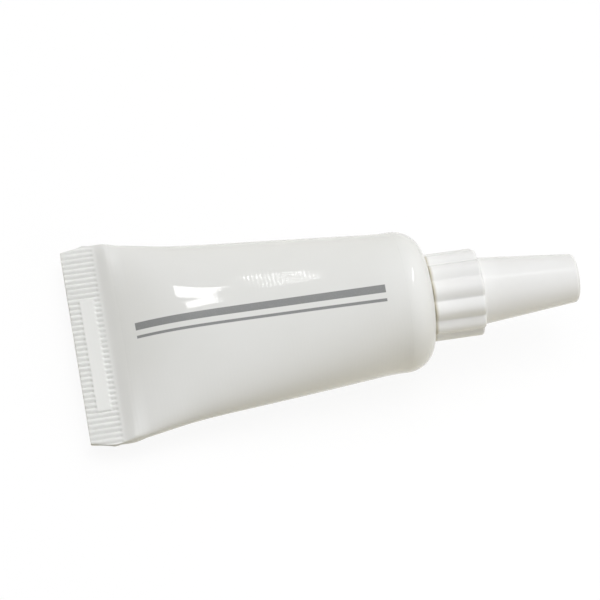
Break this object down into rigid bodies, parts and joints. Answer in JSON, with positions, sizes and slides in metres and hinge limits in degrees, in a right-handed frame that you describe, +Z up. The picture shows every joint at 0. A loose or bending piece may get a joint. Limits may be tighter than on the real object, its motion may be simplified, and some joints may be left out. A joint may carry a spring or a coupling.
{
  "type": "squeeze tube of grease",
  "caption": "Small white plastic squeeze tube of grease: round shoulder, flat ribbed crimp, long nozzle and a fluted screw cap with a tapered nose.",
  "frame": {"origin": "centre of the bounding box at the table, with the tube lying on its straight belly", "axes": "+Z up from the table; +X along the tube towards the cap, whose axis rises 8.5 degrees from the table; +Y along the crimp"},
  "size_m": [0.057, 0.0252, 0.0159],
  "materials": {
    "sleeve_plastic": "soft semi-gloss white polyethylene",
    "head_plastic": "semi-gloss white polyethylene",
    "cap_plastic": "semi-gloss white polypropylene",
    "liner_foam": "closed-cell white foam",
    "grease": "wet amber paste"
  },
  "bodies": {
    "tube": {"tube_sleeve": "sleeve_plastic", "shoulder_nozzle": "head_plastic", "grease_fill": "grease"},
    "seal": {"cap_liner": "liner_foam"},
    "cap": {"screw_cap": "cap_plastic"}
  },
  "joints": [
    {"name": "cap_lift", "type": "slide", "parent": "tube", "child": "seal", "axis": [0.989, 0, 0.1478], "range_m": [0, 0.005]},
    {"name": "cap_turn", "type": "hinge", "parent": "seal", "child": "cap", "pos_m": [0.01124, 0, 0.00842], "axis": [0.989, 0, 0.1478], "range_deg": [0, 900]}
  ],
  "couplings": [
    {"joint": "cap_turn", "follows": "cap_lift", "rad_per_m": 3141.6}
  ]
}
